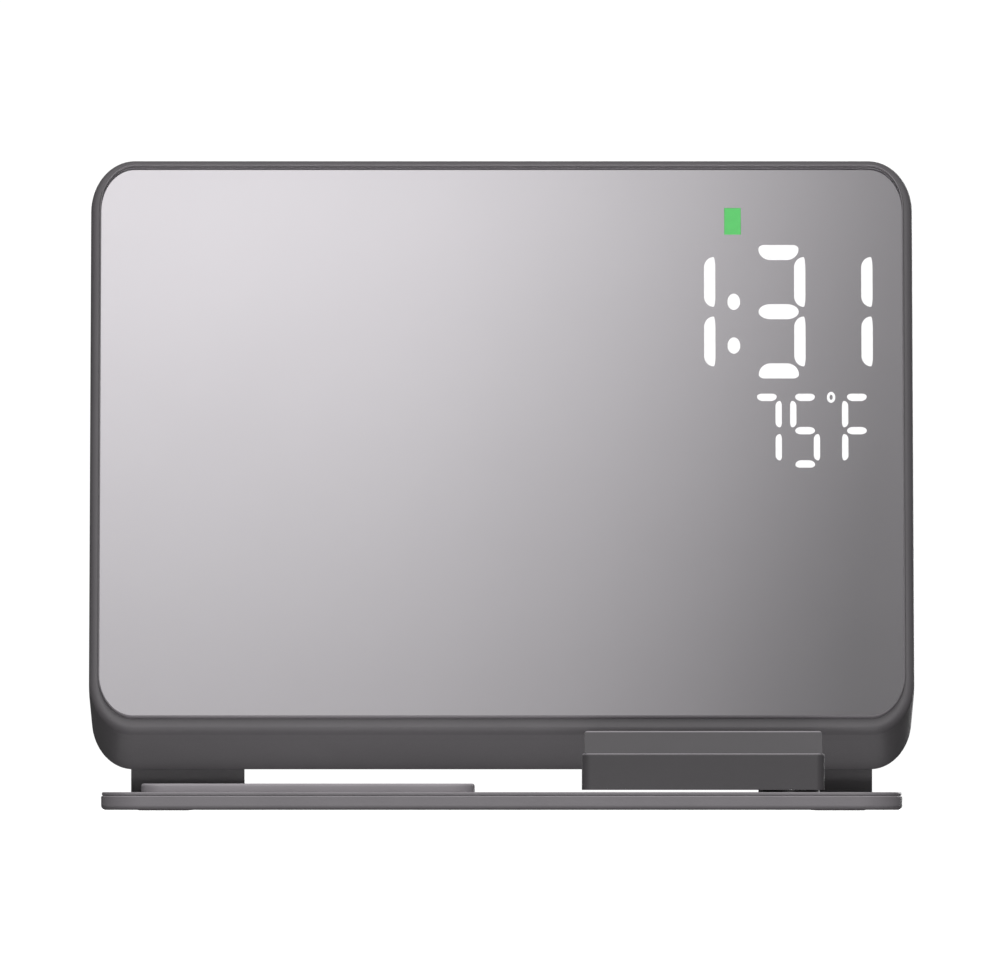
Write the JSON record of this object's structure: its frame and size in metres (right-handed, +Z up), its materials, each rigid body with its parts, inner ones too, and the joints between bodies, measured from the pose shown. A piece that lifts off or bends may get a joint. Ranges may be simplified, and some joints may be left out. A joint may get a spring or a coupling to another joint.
{
  "type": "wireless charging alarm clock",
  "caption": "Mirror-faced digital alarm clock that leans back on hinge legs over a thin base plate, with a raised earbud pad and a watch charging block that swings out.",
  "frame": {"origin": "middle of the whole clock's footprint, on the surface that it stands on", "axes": "+Z up, +X to the right of someone who reads the display, the display faces -Y"},
  "size_m": [0.16, 0.137, 0.1266],
  "materials": {
    "graphite_shell": "satin moulded",
    "mirror": "silvered",
    "clear_glass": "polished",
    "light_box": "matt black",
    "lit_diffuser": "translucent, lit",
    "green_diffuser": "translucent, lit",
    "circuit_board": "solder mask",
    "chip": "moulded",
    "led": "cast",
    "steel": "plain",
    "copper": "enamelled wire",
    "ferrite": "sintered",
    "magnet": "nickel plated",
    "inner_plastic": "moulded",
    "bush": "black acetal",
    "button": "moulded",
    "leg": "powder coat",
    "pad": "smooth silicone",
    "foot": "matt",
    "puck": "polished"
  },
  "bodies": {
    "base": {"base_tray": "graphite_shell", "base_cover": "graphite_shell", "rubber_feet": "foot", "earbud_pad": "pad", "earbud_ferrite": "ferrite", "earbud_coil": "copper", "base_board": "circuit_board", "base_chips": "chip", "left_hinge_bracket": "leg", "right_hinge_bracket": "leg", "hinge_pins": "steel", "bracket_screws": "steel", "swivel_post": "steel", "swivel_washer": "bush", "swivel_clip": "steel", "swivel_screw": "steel"},
    "slab": {"front_bezel": "graphite_shell", "cover_glass": "clear_glass", "mirror_film": "mirror", "rear_housing": "graphite_shell", "display_light_box": "light_box", "lit_segments": "lit_diffuser", "unlit_segments": "mirror", "charge_indicator": "green_diffuser", "display_leds": "led", "display_board": "circuit_board", "main_board": "circuit_board", "board_screws": "steel", "driver_chips": "chip", "usb_shell": "steel", "usb_tongue": "chip", "cell_holder": "chip", "backup_cell": "steel", "temperature_sensor": "chip", "button_switches": "chip", "alarm_speaker": "inner_plastic", "phone_coil_carrier": "inner_plastic", "coil_screws": "steel", "phone_coil": "copper", "phone_ferrite": "ferrite", "phone_magnets": "magnet", "hinge_bushes": "bush", "case_screws": "steel"},
    "watch_arm": {"swivel_bush": "bush", "watch_case": "graphite_shell", "watch_lid": "graphite_shell", "watch_puck": "puck", "watch_coil": "copper", "watch_magnet": "magnet", "watch_ferrite": "ferrite", "watch_board": "circuit_board", "watch_screws": "steel"},
    "set_button_body": {"set_button": "button"},
    "up_button_body": {"up_button": "button"},
    "down_button_body": {"down_button": "button"},
    "alarm_button_body": {"alarm_button": "button"},
    "dimmer_button_body": {"dimmer_button": "button"}
  },
  "joints": [
    {"name": "slab_tilt", "type": "hinge", "parent": "base", "child": "slab", "pos_m": [0, 0.00951, 0.01855], "axis": [1, 0, 0], "range_deg": [-30, 0]},
    {"name": "watch_swivel", "type": "hinge", "parent": "base", "child": "watch_arm", "pos_m": [0.0557, -0.05749, 0.00396], "axis": [0, 0, 1], "range_deg": [0, 90]},
    {"name": "set_press", "type": "slide", "parent": "slab", "child": "set_button_body", "axis": [0, -0.8829, 0.4695], "range_m": [0, 0.0005], "stiffness_N_per_m": 2000},
    {"name": "up_press", "type": "slide", "parent": "slab", "child": "up_button_body", "axis": [0, -0.8829, 0.4695], "range_m": [0, 0.0005], "stiffness_N_per_m": 2000},
    {"name": "down_press", "type": "slide", "parent": "slab", "child": "down_button_body", "axis": [0, -0.8829, 0.4695], "range_m": [0, 0.0005], "stiffness_N_per_m": 2000},
    {"name": "alarm_press", "type": "slide", "parent": "slab", "child": "alarm_button_body", "axis": [0, -0.8829, 0.4695], "range_m": [0, 0.0005], "stiffness_N_per_m": 2000},
    {"name": "dimmer_press", "type": "slide", "parent": "slab", "child": "dimmer_button_body", "axis": [0, -0.8829, 0.4695], "range_m": [0, 0.0005], "stiffness_N_per_m": 2000}
  ]
}
